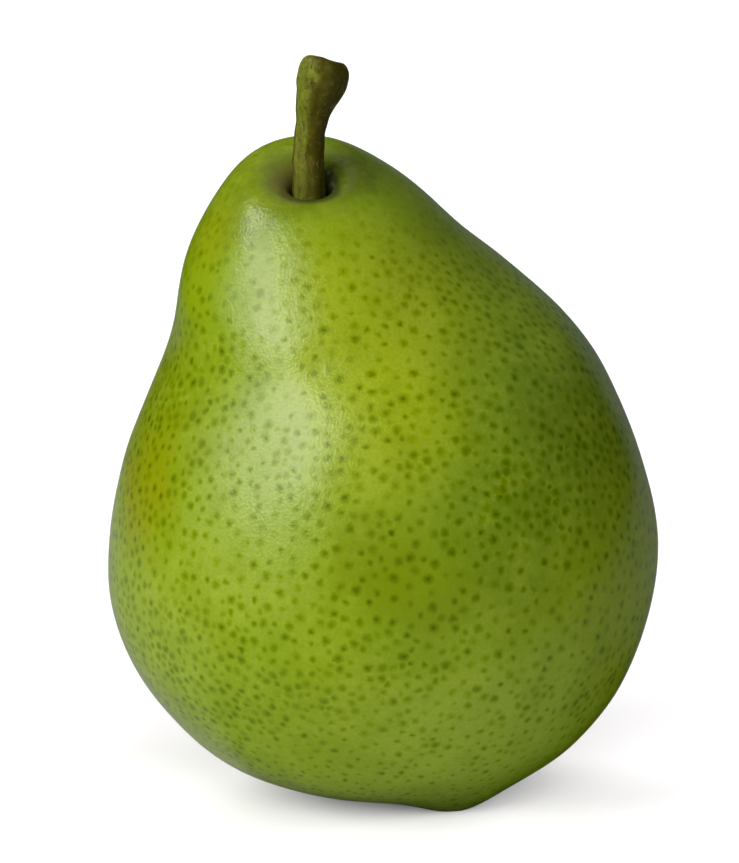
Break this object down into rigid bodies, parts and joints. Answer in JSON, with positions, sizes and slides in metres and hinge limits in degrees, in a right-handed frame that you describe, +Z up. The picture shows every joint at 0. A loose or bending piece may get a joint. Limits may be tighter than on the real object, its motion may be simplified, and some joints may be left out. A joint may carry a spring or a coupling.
{
  "type": "pear",
  "caption": "Whole green pear standing upright, with a woody stalk in a small pit on its nodding crown and a dried calyx in a basin under its base.",
  "frame": {"origin": "on the surface the pear stands on, under the middle of its box", "axes": "+Z up, the fruit's longest way; the crown and the stalk's pit nod forward to -Y, the front; +X is to the right seen from the front"},
  "size_m": [0.0797, 0.0768, 0.1098],
  "materials": {
    "skin": "satin yellow-green fruit skin with small darker green dots, a little brighter and yellower on the left and darker on the right",
    "stalk": "smooth olive-green bark turning brown on one side, with small pale dots and a dry brown cut at the end",
    "dried_sepal": "matt dark brown dried sepals"
  },
  "bodies": {
    "root": {"fruit": "skin", "stem": "stalk", "calyx": "dried_sepal"}
  },
  "joints": []
}
